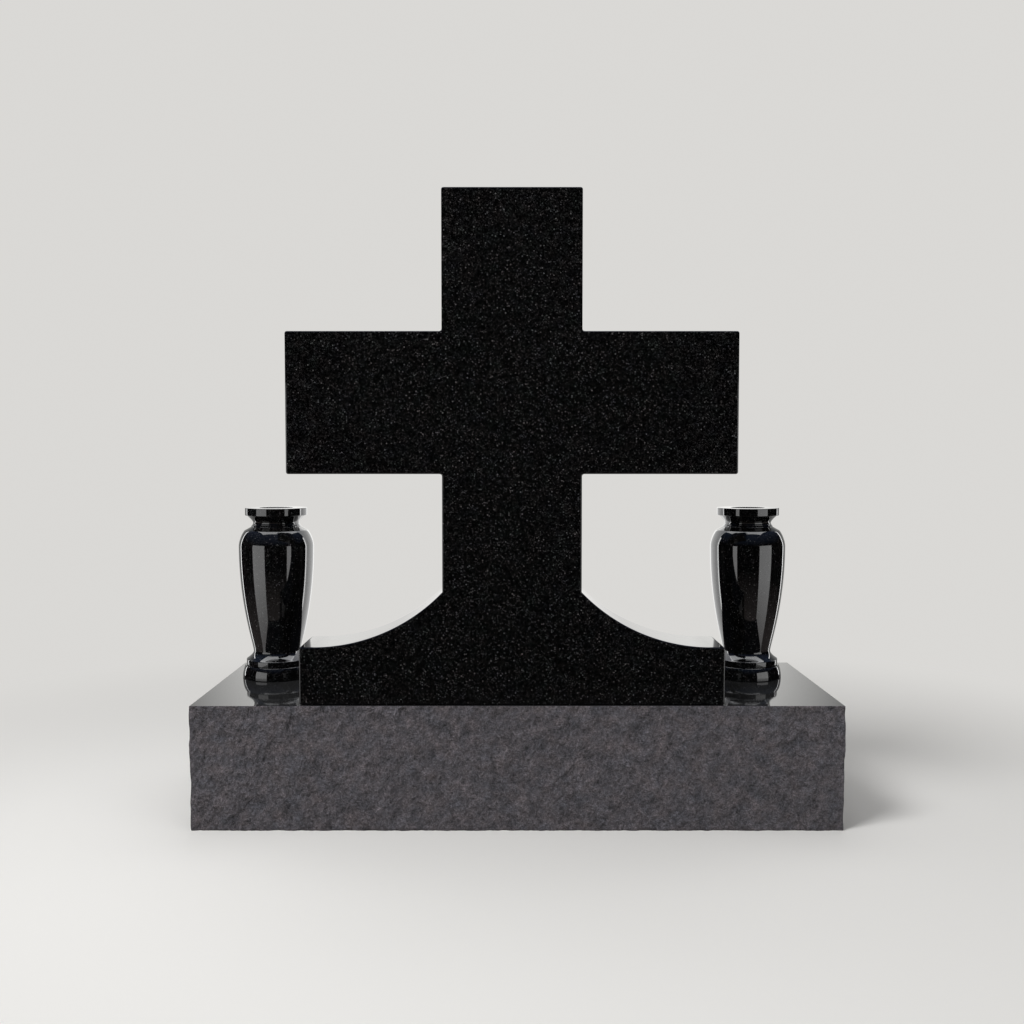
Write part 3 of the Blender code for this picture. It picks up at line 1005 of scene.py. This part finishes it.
# centre with x counted outwards, the aim's x and y, width and height, radiance
LOW_BOX = ((1.77, -1.269, -0.095), (0.418, 0.32), (1.40, 1.81), 2.85)
LOW_BOX_FADE = ("Y", 0.31, 1.32)
INNER_CARD = ((-0.078, 0.45, 0.45), (-0.078, 0.0), (0.84, 1.7), 2.8)
INNER_CARD_FADES = {"left": ("X", 1.0, -0.61), "right": ("X", 0.39, 0.61)}
INNER_STRIP = ((-1.84, 1.0, 0.2), (0.41, 0.0), (0.20, 2.6), 9.0)
OUTER_STRIP = ((1.90, 1.10, 0.2), (0.41, 0.0), (0.14, 2.6), 6.0)
OVERHEAD_PANEL = ((1.24, -0.2, 3.5), (2.4, 3.4), 4.6)


def vase_lights(side_name, hand):
    """The mirrored lights of one side, with hand -1 for the left and 1 for the right."""
    vase = vases[side_name + "_turned_vase"]

    def mirrored_card(name, card, **settings):
        """A light seen only in polish, at x = middle + hand times its distance outwards."""
        (x, y, z), (aim_x, aim_y), size, radiance = card
        centre = (MIDDLE_X + hand * x, y, z)
        aim = (MIDDLE_X + hand * aim_x, aim_y, z)
        soft_box(f"{side_name}_{name}", centre, aim, size, radiance, lighting=False, **settings)

    mirrored_card("soft_box", LOW_BOX, fade=LOW_BOX_FADE)
    mirrored_card("inner_card", INNER_CARD, fade=INNER_CARD_FADES[side_name], only_on=[vase])
    mirrored_card("inner_strip", INNER_STRIP, only_on=[vase])
    mirrored_card("outer_strip", OUTER_STRIP, only_on=[vase])
    (x, y, z), size, radiance = OVERHEAD_PANEL
    centre = (MIDDLE_X + hand * x, y, z)
    below = (centre[0], y, 0.0)
    both = list(vases.values())
    soft_box(side_name + "_overhead_panel", centre, below, size, radiance, lighting=False, only_on=both)


vase_lights("left", -1.0)
vase_lights("right", 1.0)

# %% Lights of the whole stone
# centre, aim, width and height, radiance
STONE_LIGHTS = {
    "key_light": ((-1.25, -1.35, 2.5), (0.0, 0.0, 0.1), (1.0, 1.0), 19.0),
    "fill_light": ((1.3, -1.5, 1.6), (0.0, 0.0, 0.1), (1.6, 1.6), 1.05),
    "top_light": ((0.0, 0.7, 2.6), (0.0, 0.1, 0.0), (2.0, 2.0), 1.6),
}
for name, (centre, aim, size, radiance) in STONE_LIGHTS.items():
    soft_box(name, centre, aim, size, radiance, mirrored=False)
print("lights:", ", ".join(light.name for light in bpy.data.lights))

# %% [markdown]
# ## Sizes
#
# Both boxes, the CAD model's and the visual model's, are printed side by side. The visual model
# may not grow beyond the CAD model.

# %% Sizes
boxes = {"cad": cad_bounds, "visual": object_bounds()}
boxes = {name: [[float(value) for value in corner] for corner in box] for name, box in boxes.items()}
print(boxes)
